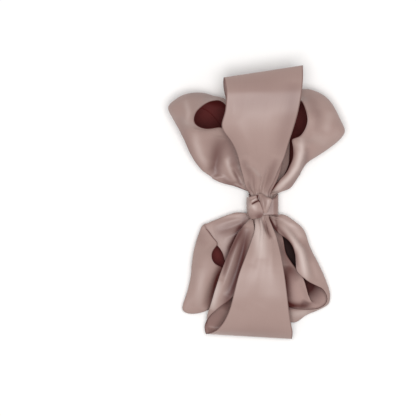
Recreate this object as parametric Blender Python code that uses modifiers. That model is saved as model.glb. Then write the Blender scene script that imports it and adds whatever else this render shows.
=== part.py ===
"""Christening sash: a wide satin ribbon tied in a six-loop bow, lying face up on a flat surface.

Metres, +Z up. The origin is on the surface, under the middle of the bow. The binding lies across X,
and the loops reach out along Y. The tables are in millimetres, measured on the laid-out bow.
"""
from collections import namedtuple

import bmesh
import bpy
import numpy as np

MM = 0.001

# Driving dimensions, in millimetres
WALL = 1.0
FLOOR_LEVEL = 0.5 * WALL
SEAM_GAP = 0.3

BAND_CENTRE_X = 6.65
BAND_CENTRE_Y = -1.4
BAND_WIDTH = 19.6
BAND_OUTER_X = 27.7
BAND_OUTER_Z = 20.6
BAND_WALL = 1.2
BAND_CORNER = 5.0
CORNER_POINTS = 5
BAND_COLUMNS = 5
NECK_HALF = 11.3
FLARE_LENGTH = 3.0

NECK_UPPER = 16.0
NECK_LOWER = 12.6
SIDE_UPPER = 8.8
SIDE_LOWER = 4.8

PLEATS_ACROSS = 3
PLEAT_HEIGHTS = {"centre": 1.4, "left": 0.5, "right": 0.5}
PLEAT_REACH = 26.0
PLEAT_RISE = 6.0

# How far a ring's foot lies from the outline towards its lower selvedge, in X, Y and Z
FOOT_SHARE = (0.35, 0.35, 0.9)

STATION_STEP = 10.0
COLUMNS = 12
KNOT_STEP = 3.0
LOBE_COLUMNS = 10
CROSSING_COLUMNS = 6

# One row of a ring: its upper selvedge, the outline where it turns under, and its lower selvedge.
# The ribbon dips by the last column between the outline and the lower selvedge.
Ring = namedtuple("Ring", "rim out low dip", defaults=(0.0,))

# One row of a fan: its left and right selvedges, and how far it crowns between them.
Fan = namedtuple("Fan", "left right crown", defaults=(0.0,))

NECK_TOP_Y = BAND_CENTRE_Y + SEAM_GAP
NECK_BOTTOM_Y = BAND_CENTRE_Y - SEAM_GAP

TOP_CENTRE = (
    Fan((-6.0, NECK_TOP_Y, NECK_UPPER), (12.0, NECK_TOP_Y, NECK_UPPER)),
    Fan((-5.2, 9.4, 16.8), (10.5, 9.2, 17.0)),
    Fan((-9.6, 13.4, 18.2), (11.8, 12.4, 18.4), 0.5),
    Fan((-11.5, 20.9, 21.0), (15.9, 20.1, 21.0), 1.5),
    Fan((-14.9, 33.4, 27.0), (20.8, 31.7, 27.0), 2.5),
    Fan((-18.1, 45.8, 33.0), (25.9, 43.3, 33.0), 3.0),
    Fan((-23.2, 56.6, 38.0), (30.0, 56.6, 38.0), 3.0),
    Fan((-32.7, 71.6, 42.0), (35.0, 72.0, 43.0), 3.0),
    Fan((-29.0, 86.0, 45.5), (39.0, 87.0, 46.5), 2.0),
    Fan((-28.0, 101.0, 47.0), (41.6, 102.0, 48.0), 1.0),
    Fan((-29.3, 112.0, 44.0), (43.0, 118.0, 46.0), 0.5),
    Fan((-30.5, 116.0, 38.0), (43.0, 127.0, 39.0), 0.0),
    Fan((-31.0, 110.0, 31.5), (41.0, 120.0, 32.5), 0.0),
    Fan((-29.0, 99.0, 31.5), (37.0, 104.0, 32.5), 1.0),
    Fan((-22.0, 80.0, 32.0), (29.0, 82.0, 32.0), 1.0),
    Fan((-16.0, 58.0, 27.5), (22.0, 58.0, 27.5), 1.0),
    Fan((-11.0, 36.0, 20.5), (15.5, 36.0, 20.5), 1.0),
    Fan((-7.5, 18.0, 15.0), (13.0, 18.0, 15.0), 0.5),
    Fan((-6.5, 8.0, 13.0), (13.0, 8.0, 13.0)),
    Fan((-4.8, NECK_TOP_Y, NECK_LOWER), (14.0, NECK_TOP_Y, NECK_LOWER)),
)

TOP_LEFT = (
    Ring((5.0, NECK_TOP_Y, SIDE_UPPER), (-1.0, NECK_TOP_Y, SIDE_UPPER), (-4.8, NECK_TOP_Y, SIDE_UPPER)),
    Ring((4.5, 9.4, 9.2), (-0.2, 9.4, 9.2), (-4.8, 9.4, 9.0)),
    Ring((2.0, 14.5, 11.0), (-4.5, 13.4, 10.6), (-9.8, 12.8, 9.4)),
    Ring((-1.5, 24.0, 13.0), (-15.5, 17.8, 11.0), (-21.0, 15.8, 5.5)),
    Ring((-5.0, 34.0, 15.0), (-33.5, 19.2, 9.5), (-32.0, 22.5, 0.5)),
    Ring((-10.0, 47.0, 19.0), (-48.5, 28.5, 12.0), (-43.0, 33.0, 0.5)),
    Ring((-20.0, 60.0, 25.0), (-61.0, 45.0, 15.0), (-51.0, 48.0, 0.5)),
    Ring((-33.0, 70.5, 34.0), (-68.0, 60.0, 17.0), (-56.0, 62.0, 0.5)),
    Ring((-46.0, 68.5, 41.0), (-74.0, 71.5, 18.0), (-62.0, 72.0, 0.5)),
    Ring((-55.5, 71.5, 43.5), (-80.0, 82.5, 18.0), (-67.0, 79.0, 0.5)),
    Ring((-58.6, 77.0, 44.5), (-82.8, 89.2, 18.0), (-69.0, 83.0, 0.5)),
    Ring((-57.0, 83.0, 44.5), (-76.5, 94.6, 18.0), (-65.0, 86.5, 0.5)),
    Ring((-51.5, 89.0, 42.5), (-66.5, 100.2, 17.5), (-59.0, 90.0, 0.5)),
    Ring((-43.5, 94.0, 38.5), (-54.0, 102.6, 16.5), (-51.0, 92.0, 0.5)),
    Ring((-35.5, 95.5, 32.5), (-41.0, 100.5, 15.0), (-42.0, 90.5, 0.5)),
    Ring((-26.0, 88.0, 27.0), (-26.0, 95.5, 12.0), (-30.0, 85.0, 0.5)),
    Ring((-14.0, 70.0, 21.0), (-8.0, 78.0, 10.0), (-9.0, 74.5, 0.5)),
    Ring((-6.0, 45.0, 13.5), (1.5, 50.0, 7.5), (3.5, 49.0, 0.5)),
    Ring((-6.0, 24.0, 6.2), (0.0, 25.0, 3.5), (4.5, 25.0, 1.0)),
    Ring((-6.0, 9.4, 4.6), (-1.0, 9.4, 4.6), (4.5, 9.4, 4.4)),
    Ring((-4.8, NECK_TOP_Y, SIDE_LOWER), (-1.0, NECK_TOP_Y, SIDE_LOWER), (5.0, NECK_TOP_Y, SIDE_LOWER)),
)

TOP_RIGHT = (
    Ring((7.0, NECK_TOP_Y, SIDE_UPPER), (13.0, NECK_TOP_Y, SIDE_UPPER), (18.0, NECK_TOP_Y, SIDE_UPPER)),
    Ring((8.5, 9.4, 9.4), (13.4, 9.4, 9.4), (18.0, 9.4, 9.0)),
    Ring((13.5, 14.5, 13.0), (18.6, 13.4, 11.8), (22.8, 12.6, 9.4)),
    Ring((19.5, 20.0, 17.0), (28.0, 15.0, 11.5), (32.2, 12.8, 5.5)),
    Ring((29.0, 29.5, 24.0), (40.5, 24.5, 11.0), (38.0, 27.0, 0.5)),
    Ring((34.8, 45.0, 30.0), (50.0, 38.5, 13.0), (43.0, 41.0, 0.5)),
    Ring((32.5, 58.6, 33.0), (65.0, 49.0, 15.0), (54.0, 52.0, 0.5)),
    Ring((40.0, 63.8, 36.0), (75.0, 56.5, 17.0), (63.0, 59.0, 0.5)),
    Ring((45.3, 70.0, 38.5), (80.5, 62.8, 18.0), (68.0, 64.0, 0.5)),
    Ring((47.2, 76.0, 39.5), (82.9, 67.6, 18.0), (70.0, 68.0, 0.5)),
    Ring((46.5, 82.0, 39.5), (78.6, 76.5, 18.0), (67.0, 74.0, 0.5)),
    Ring((44.5, 89.0, 37.5), (72.0, 89.0, 17.5), (63.0, 83.0, 0.5)),
    Ring((40.5, 95.5, 33.5), (62.5, 99.8, 16.5), (56.0, 90.0, 0.5)),
    Ring((33.5, 95.0, 28.0), (46.5, 106.2, 15.0), (44.0, 95.0, 0.5)),
    Ring((28.5, 80.0, 23.5), (20.0, 94.0, 12.0), (27.0, 82.0, 0.5)),
    Ring((27.0, 58.0, 18.0), (13.0, 66.0, 10.0), (20.0, 58.0, 0.5)),
    Ring((24.0, 36.0, 12.0), (12.0, 40.0, 7.0), (10.0, 38.0, 0.5)),
    Ring((18.0, 22.0, 6.2), (12.0, 23.0, 3.5), (8.0, 23.0, 1.0)),
    Ring((18.0, 9.4, 4.6), (12.8, 9.4, 4.6), (7.4, 9.4, 4.4)),
    Ring((18.0, NECK_TOP_Y, SIDE_LOWER), (13.0, NECK_TOP_Y, SIDE_LOWER), (7.0, NECK_TOP_Y, SIDE_LOWER)),
)

BOTTOM_CENTRE = (
    Fan((-3.0, NECK_BOTTOM_Y, NECK_UPPER), (12.0, NECK_BOTTOM_Y, NECK_UPPER)),
    Fan((-2.5, -12.3, 16.8), (11.5, -12.3, 16.8)),
    Fan((-1.0, -22.0, 21.0), (14.5, -22.0, 20.5), 1.0),
    Fan((-4.0, -33.0, 25.5), (18.7, -33.0, 23.5), 2.0),
    Fan((-10.5, -50.5, 31.5), (23.2, -51.5, 28.0), 2.5),
    Fan((-16.4, -66.2, 33.0), (25.8, -66.2, 29.0), 2.5),
    Fan((-21.0, -84.0, 31.0), (28.2, -84.0, 28.0), 2.0),
    Fan((-25.0, -99.0, 27.0), (30.0, -99.0, 25.0), 1.5),
    Fan((-31.0, -111.5, 22.5), (32.0, -112.0, 21.0), 1.0),
    Fan((-39.5, -120.0, 17.0), (33.8, -120.5, 16.5), 0.5),
    Fan((-47.0, -122.0, 9.5), (33.0, -127.0, 9.0), 0.0),
    Ring((-48.2, -115.0, 6.5), (-44.0, -116.0, 2.8), (29.0, -118.0, 1.5)),
    Ring((-44.5, -107.0, 12.5), (-46.5, -106.5, 8.5), (21.0, -108.0, 4.5)),
    Ring((-35.5, -98.0, 19.5), (-43.3, -96.0, 14.5), (14.0, -96.0, 9.0)),
    Ring((-22.0, -87.5, 24.0), (-39.0, -82.0, 19.5), (6.0, -80.0, 13.0)),
    Ring((-10.0, -68.0, 26.5), (-33.0, -64.0, 23.5), (3.0, -62.0, 17.5)),
    Ring((-6.0, -44.0, 25.0), (-23.5, -41.0, 21.5), (5.0, -42.0, 17.0)),
    Ring((-8.5, -27.0, 22.0), (-15.4, -25.5, 17.5), (7.0, -26.0, 13.0)),
    Ring((-8.6, -18.0, 17.8), (-9.6, -18.0, 14.6), (9.5, -18.0, 13.2)),
    Ring((-4.8, -12.3, 14.2), (-4.4, -12.3, 12.8), (12.5, -12.3, 12.6)),
    Ring((-4.8, NECK_BOTTOM_Y, NECK_LOWER), (-1.0, NECK_BOTTOM_Y, NECK_LOWER), (13.0, NECK_BOTTOM_Y, NECK_LOWER)),
)

BOTTOM_LEFT = (
    Ring((5.0, NECK_BOTTOM_Y, SIDE_UPPER), (-1.0, NECK_BOTTOM_Y, SIDE_UPPER), (-4.8, NECK_BOTTOM_Y, SIDE_UPPER)),
    Ring((4.5, -12.3, 9.2), (-0.2, -12.3, 9.2), (-4.8, -12.3, 9.0)),
    Ring((-2.0, -22.0, 10.6), (-6.0, -16.8, 10.6), (-9.8, -13.8, 9.8)),
    Ring((-10.0, -34.0, 11.5), (-15.0, -12.4, 10.4), (-18.5, -8.6, 6.0)),
    Ring((-20.0, -49.0, 13.0), (-26.5, -10.2, 8.0), (-26.0, -13.5, 0.5)),
    Ring((-30.0, -53.5, 18.0), (-35.0, -14.0, 8.0), (-33.0, -19.0, 0.5)),
    Ring((-34.0, -38.5, 21.0), (-42.0, -16.0, 8.0), (-39.5, -22.0, 0.5)),
    Ring((-45.0, -24.0, 17.0), (-48.0, -18.2, 8.0), (-45.0, -24.5, 0.5)),
    Ring((-45.5, -28.0, 14.0), (-53.8, -26.5, 8.0), (-48.0, -29.0, 0.5)),
    Ring((-40.0, -38.0, 16.5), (-57.3, -38.5, 8.5), (-50.0, -39.0, 0.5)),
    Ring((-42.0, -49.0, 23.0), (-59.3, -53.0, 9.0), (-51.0, -51.0, 0.5)),
    Ring((-36.0, -58.8, 22.5), (-62.5, -74.0, 8.0), (-53.0, -66.0, 0.5)),
    Ring((-30.5, -62.5, 19.0), (-66.5, -90.5, 6.0), (-55.0, -78.0, 0.5)),
    Ring((-28.5, -64.5, 17.0), (-68.6, -98.2, 4.5), (-55.5, -82.5, 0.5)),
    Ring((-26.5, -66.5, 15.0), (-62.5, -102.4, 4.0), (-52.5, -86.0, 0.5)),
    Ring((-22.5, -66.0, 12.0), (-45.5, -100.4, 3.5), (-41.0, -86.0, 0.5)),
    Ring((-17.0, -54.0, 9.0), (-25.0, -74.0, 5.0), (-28.0, -82.0, 1.0)),
    Ring((-11.0, -34.0, 5.0), (-8.0, -45.0, 2.8), (-5.0, -46.0, 0.8)),
    Ring((-4.8, -12.3, 4.6), (-0.2, -12.3, 4.6), (4.5, -12.3, 4.4)),
    Ring((-4.8, NECK_BOTTOM_Y, SIDE_LOWER), (-1.0, NECK_BOTTOM_Y, SIDE_LOWER), (5.0, NECK_BOTTOM_Y, SIDE_LOWER)),
)

BOTTOM_RIGHT = (
    Ring((7.0, NECK_BOTTOM_Y, SIDE_UPPER), (13.0, NECK_BOTTOM_Y, SIDE_UPPER), (18.0, NECK_BOTTOM_Y, SIDE_UPPER)),
    Ring((8.5, -12.3, 9.4), (13.4, -12.3, 9.4), (18.0, -12.3, 9.0)),
    Ring((14.5, -19.0, 11.4), (19.2, -15.8, 10.8), (23.2, -13.6, 9.6)),
    Ring((21.5, -25.5, 15.5), (30.5, -18.2, 11.0), (35.0, -15.2, 6.0)),
    Ring((30.5, -35.5, 20.0), (44.8, -25.5, 9.5), (41.0, -29.0, 0.5)),
    Ring((36.0, -47.5, 22.5), (50.0, -41.0, 9.5), (43.0, -43.0, 0.5)),
    Ring((37.0, -62.0, 23.0), (58.0, -56.5, 9.5), (49.0, -57.5, 0.5)),
    Ring((48.0, -73.0, 20.0), (65.3, -73.0, 8.5), (56.5, -70.0, 0.5)),
    Ring((62.0, -80.5, 14.0), (69.0, -86.0, 7.0), (62.0, -80.0, 0.5)),
    Ring((66.5, -91.0, 9.0), (68.5, -93.0, 5.5), (62.0, -88.0, 0.5)),
    Ring((57.5, -98.5, 9.0), (58.5, -99.5, 5.0), (56.0, -91.0, 2.0)),
    Ring((47.0, -99.3, 10.0), (47.0, -104.0, 4.5), (48.0, -85.0, 9.0), 6.0),
    Ring((34.0, -98.3, 12.0), (35.0, -112.0, 4.0), (43.0, -68.0, 11.0), 7.0),
    Ring((22.0, -92.0, 12.5), (22.0, -104.0, 4.0), (32.0, -54.0, 9.5), 6.0),
    Ring((12.0, -70.0, 10.0), (9.0, -76.0, 4.0), (27.0, -42.0, 7.5), 4.0),
    Ring((8.0, -44.0, 6.5), (6.0, -46.0, 4.0), (21.0, -28.0, 5.0), 2.0),
    Ring((7.5, -12.3, 4.6), (12.5, -12.3, 4.6), (18.0, -12.3, 4.4)),
    Ring((7.0, NECK_BOTTOM_Y, SIDE_LOWER), (12.5, NECK_BOTTOM_Y, SIDE_LOWER), (18.0, NECK_BOTTOM_Y, SIDE_LOWER)),
)

LOOPS = {
    "loop_top_centre": TOP_CENTRE,
    "loop_top_left": TOP_LEFT,
    "loop_top_right": TOP_RIGHT,
    "loop_bottom_centre": BOTTOM_CENTRE,
    "loop_bottom_left": BOTTOM_LEFT,
    "loop_bottom_right": BOTTOM_RIGHT,
}

# The knot on the binding: a lobe of ribbon folded over on the left, and a ply that crosses beside it.
KNOT_LOBE = (
    Ring((-8.8, 7.6, 15.5), (-7.0, 8.0, 21.2), (1.6, 7.6, 22.0), -0.6),
    Ring((-9.0, 3.0, 14.5), (-7.2, 3.0, 21.6), (2.7, 2.0, 22.6), -1.6),
    Ring((-9.0, -3.0, 14.0), (-7.2, -3.0, 21.8), (4.5, -3.2, 22.8), -2.4),
    Ring((-8.8, -8.0, 15.0), (-7.0, -8.4, 21.6), (6.6, -9.2, 22.4), -2.2),
    Ring((-8.2, -11.6, 16.5), (-6.4, -12.2, 21.2), (5.2, -12.4, 21.6), -1.2),
    Ring((-6.8, -13.6, 18.4), (-4.0, -14.8, 21.0), (3.6, -13.8, 21.2), -0.4),
)

KNOT_CROSSING = (
    Fan((2.6, 8.4, 21.9), (12.6, 7.4, 21.6), 0.8),
    Fan((3.4, 5.0, 22.2), (14.0, 2.4, 21.7), 1.6),
    Fan((4.6, 0.0, 22.6), (12.4, -1.4, 21.8), 1.6),
    Fan((6.0, -4.6, 22.6), (10.2, -5.2, 21.8), 0.8),
    Fan((7.6, -8.6, 22.2), (8.4, -8.8, 21.8), 0.0),
)

COLOURS = {
    "loop_top_centre": (0.50, 0.35, 0.31),
    "loop_top_left": (0.46, 0.31, 0.28),
    "loop_top_right": (0.47, 0.32, 0.29),
    "loop_bottom_centre": (0.52, 0.37, 0.33),
    "loop_bottom_left": (0.46, 0.31, 0.28),
    "loop_bottom_right": (0.45, 0.30, 0.27),
    "binding": (0.44, 0.30, 0.27),
    "knot_lobe": (0.45, 0.31, 0.28),
    "knot_crossing": (0.49, 0.35, 0.32),
}
SATIN_ROUGHNESS = 0.38


def control_points(row):
    """Returns the four points that one section's curve passes through, from selvedge to selvedge."""
    if isinstance(row, Fan):
        left, right = np.array(row.left), np.array(row.right)
        lift = np.array((0.0, 0.0, row.crown))
        return np.array((left, left + (right - left) / 3 + lift, right - (right - left) / 3 + lift, right))
    rim, out, low = np.array(row.rim), np.array(row.out), np.array(row.low)
    foot = out + (low - out) * FOOT_SHARE
    foot[2] -= row.dip
    return np.array((rim, out, foot, low))


def slopes_between(points, lengths):
    """Returns a slope at each point that lets no curve swing out past its points.

    It is the harmonic mean of the slopes on the point's two sides, or nothing where they disagree.
    """
    gaps = np.diff(lengths).reshape(-1, *[1] * (points.ndim - 1))
    sides = np.diff(points, axis=0) / gaps
    before, after = sides[:-1], sides[1:]
    agree = before * after > 0
    safe = np.where(agree, before * after, 1.0)
    total = np.where(agree, gaps[1:] * before + gaps[:-1] * after, 1.0)
    middle = np.where(agree, safe * (gaps[:-1] + gaps[1:]) / total, 0.0)
    return np.concatenate((sides[:1], middle, sides[-1:]))


def smooth_through(points, lengths, places):
    """Reads, at each place, a smooth curve through points that lie along it at the given lengths."""
    slopes = slopes_between(points, lengths)
    before = np.clip(np.searchsorted(lengths, places) - 1, 0, len(lengths) - 2)
    spans = (lengths[before + 1] - lengths[before]).reshape(-1, *[1] * (points.ndim - 1))
    t = (places - lengths[before]).reshape(spans.shape) / spans
    start, end = points[before], points[before + 1]
    return (
        (2 * t**3 - 3 * t**2 + 1) * start
        + (t**3 - 2 * t**2 + t) * spans * slopes[before]
        + (3 * t**2 - 2 * t**3) * end
        + (t**3 - t**2) * spans * slopes[before + 1]
    )


def running_length(points):
    """Returns the distance along the points from the first one."""
    steps = np.linalg.norm(np.diff(points, axis=0), axis=-1)
    if steps.ndim > 1:
        steps = steps.mean(axis=1)
    return np.concatenate(((0.0,), np.cumsum(steps)))


def stations_between(lengths, step):
    """Returns the rows' own places and even ones between them, no more than a step apart."""
    places = [
        np.linspace(start, end, int(np.ceil((end - start) / step)), endpoint=False)
        for start, end in zip(lengths[:-1], lengths[1:])
    ]
    return np.concatenate(places + [lengths[-1:]])


def ribbon_grid(rows, step, columns):
    """Returns the ribbon's middle surface as a grid of points, stations along it by columns across."""
    controls = np.array([control_points(row) for row in rows])
    lengths = running_length(controls)
    grid = []
    for section in smooth_through(controls, lengths, stations_between(lengths, step)):
        widths = running_length(section)
        grid.append(smooth_through(section, widths, np.linspace(0, widths[-1], columns)))
    return np.array(grid)


def pleated(grid, height):
    """Lifts the grid in waves that are tallest just outside the binding and fade along the ribbon."""
    across = np.linspace(0, 1, grid.shape[1])
    reach = np.hypot(grid[..., 0] - BAND_CENTRE_X, grid[..., 1] - BAND_CENTRE_Y) - 0.5 * BAND_WIDTH
    rise = np.clip(reach / PLEAT_RISE, 0, 1)
    fade = np.exp(-np.clip(reach - PLEAT_RISE, 0, None) / PLEAT_REACH)
    waves = np.sin(2 * np.pi * PLEATS_ACROSS * across) * np.sin(np.pi * across)
    lifted = grid.copy()
    lifted[..., 2] += height * rise * fade * waves
    return lifted


def held_in_binding(grid):
    """Draws each section together in X where it passes through the binding and just beyond it."""
    half = np.abs(grid[..., 0] - BAND_CENTRE_X).max(axis=1, keepdims=True)
    reach = np.abs(grid[..., 1] - BAND_CENTRE_Y).max(axis=1, keepdims=True)
    share = 1 - np.clip((reach - 0.5 * BAND_WIDTH - SEAM_GAP) / FLARE_LENGTH, 0, 1)
    scale = 1 + (np.minimum(NECK_HALF / half, 1) - 1) * share
    drawn = grid.copy()
    drawn[..., 0] = BAND_CENTRE_X + (grid[..., 0] - BAND_CENTRE_X) * scale
    return drawn


def satin(name):
    """Makes the satin of one piece, a plain material in its colour."""
    material = bpy.data.materials.new(name + "_satin")
    material.use_nodes = True
    shader = material.node_tree.nodes["Principled BSDF"]
    shader.inputs["Base Color"].default_value = (*COLOURS[name], 1)
    shader.inputs["Roughness"].default_value = SATIN_ROUGHNESS
    shader.inputs["Metallic"].default_value = 0.0
    return material


def cloth_wall(name, grid, wall, closed=False):
    """Makes a wall of cloth round a grid of points, closed in a ring along its stations if asked."""
    stations, columns = grid.shape[:2]
    mesh = bmesh.new()
    points = [[mesh.verts.new(point * MM) for point in section] for section in grid]
    last = stations if closed else stations - 1
    for i in range(last):
        here, after = points[i], points[(i + 1) % stations]
        for j in range(columns - 1):
            mesh.faces.new((here[j], after[j], after[j + 1], here[j + 1]))
    data = bpy.data.meshes.new(name)
    mesh.to_mesh(data)
    mesh.free()
    data.shade_smooth()
    data.materials.append(satin(name))
    piece = bpy.data.objects.new(name, data)
    thickness = piece.modifiers.new("wall", "SOLIDIFY")
    thickness.thickness = wall * MM
    thickness.offset = 0
    return piece


def make_loop(name):
    """Makes one loop of the ribbon, out from the binding, round its end and back."""
    grid = ribbon_grid(LOOPS[name], STATION_STEP, COLUMNS)
    grid = held_in_binding(pleated(grid, PLEAT_HEIGHTS[name.rsplit("_", 1)[1]]))
    grid[..., 2] = np.maximum(grid[..., 2], FLOOR_LEVEL)
    return cloth_wall(name, grid, WALL)


def make_binding():
    """Makes the ribbon wound round the neck: a rounded rectangle across X, drawn along Y."""
    half_x = 0.5 * (BAND_OUTER_X - BAND_WALL)
    half_z = 0.5 * (BAND_OUTER_Z - BAND_WALL)
    ring = []
    for corner, (side_x, side_z) in enumerate(((1, 1), (-1, 1), (-1, -1), (1, -1))):
        for angle in np.linspace(0, 90, CORNER_POINTS) + 90 * corner:
            turn = np.radians(angle)
            ring.append((
                BAND_CENTRE_X + side_x * (half_x - BAND_CORNER) + BAND_CORNER * np.cos(turn),
                0.5 * BAND_OUTER_Z + side_z * (half_z - BAND_CORNER) + BAND_CORNER * np.sin(turn),
            ))
    ring = np.array(ring)
    across = BAND_CENTRE_Y + BAND_WIDTH * np.linspace(-0.5, 0.5, BAND_COLUMNS)
    grid = np.array([[(x, y, z) for y in across] for x, z in ring])
    return cloth_wall("binding", grid, BAND_WALL, closed=True)


def make_knot():
    """Makes the two pieces of ribbon that show on top of the binding."""
    return [
        cloth_wall("knot_lobe", ribbon_grid(KNOT_LOBE, KNOT_STEP, LOBE_COLUMNS), WALL),
        cloth_wall("knot_crossing", ribbon_grid(KNOT_CROSSING, KNOT_STEP, CROSSING_COLUMNS), WALL),
    ]


def main():
    for old in list(bpy.data.objects):
        bpy.data.objects.remove(old)
    sash = bpy.data.collections.new("christening_sash")
    bpy.context.scene.collection.children.link(sash)
    pieces = [make_loop(name) for name in LOOPS]
    pieces.append(make_binding())
    pieces.extend(make_knot())
    for piece in pieces:
        sash.objects.link(piece)


main()
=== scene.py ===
"""Christening sash: the looks of a dusty rose satin ribbon tied in a six-loop bow.

Each stretch of ribbon is a surface over two parameters, s along the ribbon and w across it from one
selvedge to the other. A few sections are listed. Monotone cubic curves carry their points
along s, and the same kind of curve carries each section across w. Creases are then pressed into it
or raised on it, and a Solidify modifier gives it the thickness of satin. The binding alone is a rounded
rectangle carried along Y. Every piece has a fold_shade value at its points, from which its material
takes a painted shade of deep rose in the folds and a paler painted highlight on their backs.
Sizes are in millimetres where a comment names no other unit. X and Y are seen from above, with +Z up
from the table.
"""
from collections import namedtuple

import bpy
import numpy as np
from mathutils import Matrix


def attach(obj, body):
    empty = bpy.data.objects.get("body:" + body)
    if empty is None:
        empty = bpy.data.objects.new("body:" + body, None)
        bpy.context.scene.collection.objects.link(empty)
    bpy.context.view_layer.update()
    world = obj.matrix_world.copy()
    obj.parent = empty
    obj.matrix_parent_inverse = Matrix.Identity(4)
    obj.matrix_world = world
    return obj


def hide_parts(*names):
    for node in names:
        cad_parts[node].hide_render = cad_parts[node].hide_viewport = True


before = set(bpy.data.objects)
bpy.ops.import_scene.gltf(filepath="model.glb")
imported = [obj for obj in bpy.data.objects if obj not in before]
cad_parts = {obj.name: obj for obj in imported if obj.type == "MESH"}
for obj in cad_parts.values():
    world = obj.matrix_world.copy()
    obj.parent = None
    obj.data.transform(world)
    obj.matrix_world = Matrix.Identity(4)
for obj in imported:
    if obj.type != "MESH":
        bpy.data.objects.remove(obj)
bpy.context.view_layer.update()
scene = bpy.context.scene

MM = 0.001
TINY = 1e-9

# The camera looks straight down from far off. The picture is 387 mm wide where the bow lies, and the
# camera sees things up to CAMERA_REACH metres away.
PICTURE_CENTRE = (-45.1, -4.65)
PICTURE_WIDTH = 387.0
CAMERA_HEIGHT = 5000.0
SENSOR_WIDTH = 36.0
CAMERA_REACH = 20.0
BOW_MIDDLE_Z = 22.0

# The ribbon, the lowest place of its middle surface, the grid that it is drawn on, and the share of its
# length over which a crease begins or ends
RIBBON_WIDTH = 75.0
SATIN_THICKNESS = 0.5
LOWEST = 0.3
ALONG_STEP = 1.6
ACROSS_POINTS = 60
RELAX_PASSES = 5
WINDOW_EASE = 0.04

# The knot's two pieces, with the points across each
KNOT_STEP = 0.35
LOBE_POINTS = 70
CROSSING_POINTS = 40
KNOT_RELAX_PASSES = 6

# The binding round the neck. It holds the loops within NECK_HALF of its middle, and they spread again
# over FLARE_LENGTH beyond it. Their ends stop SEAM_GAP short of its middle.
BAND_CENTRE_X = 6.65
BAND_CENTRE_Y = -1.4
BAND_WIDTH = 19.6
BAND_OUTER_X = 27.7
BAND_OUTER_Z = 20.6
BAND_WALL = 0.8
BAND_CORNER = 5.0
BAND_CORNER_POINTS = 12
BAND_STATIONS = 120
BAND_POINTS = 40
NECK_HALF = 12.5
FLARE_LENGTH = 1.6
SEAM_GAP = 0.3

# How far the cloth that comes out of the binding hides its upper edge, at places across it
BAND_HIDDEN = (
    (-7.2, 0.0), (-6.2, 0.6), (-4.7, 3.6), (-2.0, 3.2), (0.3, 2.4), (4.9, 0.2),
    (7.4, 2.4), (14.0, 4.8), (17.5, 3.0), (19.2, 0.8), (20.4, 0.0),
)

# Heights of the plies where they pass through the binding
NECK_UPPER = 16.0
NECK_LOWER = 12.6
SIDE_UPPER = 8.8
SIDE_LOWER = 4.8

# Small gathers beside the binding: waves across the ribbon, each with its count, share and start, their
# height by the place of the loop, how far they reach and the length over which they rise
GATHERS = ((3.0, 1.0, 0.0), (5.5, 0.45, 1.0))
GATHER_HEIGHTS = {"centre": 1.1, "left": 0.5, "right": 0.5}
GATHER_REACH = 22.0
GATHER_RISE = 6.0

# A section of a ring-shaped loop: its upper selvedge, the outline where it turns under and its lower
# selvedge. It dips by the last column between the outline and the lower selvedge.
Ring = namedtuple("Ring", "rim out low dip", defaults=(0.0,))

# How far a ring's foot lies from the outline towards the lower selvedge, in X, Y and Z
FOOT_SHARE = (0.35, 0.35, 0.9)

# A section of a fan-shaped ply: its left and right selvedges, and how far it crowns between them.
Fan = namedtuple("Fan", "left right crown", defaults=(0.0,))

# A crease: its path seen from above, how far it stands up or, if negative, sinks, its half width, and
# the shares of the ribbon's length between which it lies.
Crease = namedtuple("Crease", "path height half_width first last", defaults=(0.0, 0.5))

# Painted shade in a fold: its path seen from above, how dark its middle is or, if negative, how light, as
# a painted highlight, its half width, and the shares of the ribbon's length between which it lies. It is
# full at 1 and at -1.
Shade = namedtuple("Shade", "path height half_width first last", defaults=(0.0, 0.5))

# Painted shadow at a place deep in a loop: its colour, the two heights and the two distances from it
# between which the cloth goes from that painted colour to its own.
PaintedDeepShade = namedtuple("PaintedDeepShade", "colour low high place near far")

NECK_TOP_Y = BAND_CENTRE_Y + SEAM_GAP
NECK_BOTTOM_Y = BAND_CENTRE_Y - SEAM_GAP

# Soft studio light and the table under the bow, in metres and watts
SKY_STRENGTH = 0.42
SOFTBOX_PLACE = (0.05, -0.1, 1.7)
SOFTBOX_SIZE = 1.0
SOFTBOX_POWER = 24.0
TABLE_HALF = 2.5
TABLE_Z = -0.0002

# The satin's tone: streaks of thread, with their size across and along the ribbon, and soft clouds
STREAK_SIZE = (0.588, 22.2)
STREAK_SHARE = 0.35
CLOUD_SIZE = 35.7
CLOUD_SHARE = 0.65

# Its relief: the spacing at which the threads are drawn, how far Blender's wave texture turns in a unit,
# and the waves' share beside the streaks
THREAD_SPACING = 0.6
WAVE_TURN = 20
WARP_SHARE = 0.5

# How far its roughness goes below and above its value from streak to streak
ROUGHNESS_SPREAD = (0.04, 0.06)

# How far from the edge its selvedge begins, and how far from the edge it has its full colour. Its darker
# colour is partly the denser woven edge and partly painted shade along the edge
SELVEDGE_WIDTHS = (1.5, 0.7)

# Its painted shade colour where fold_shade is 1 or more, and its painted highlight colour where it is -1
# or less
PAINTED_SHADE_AND_HIGHLIGHT = (("#4f1f1b", 1.0), ("#d8c8c2", -1.0))


def in_binding(kind, y, z, *across):
    """Returns a section that lies level in the binding: its points share one Y and one height."""
    return kind(*((x, y, z) for x in across))


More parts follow.
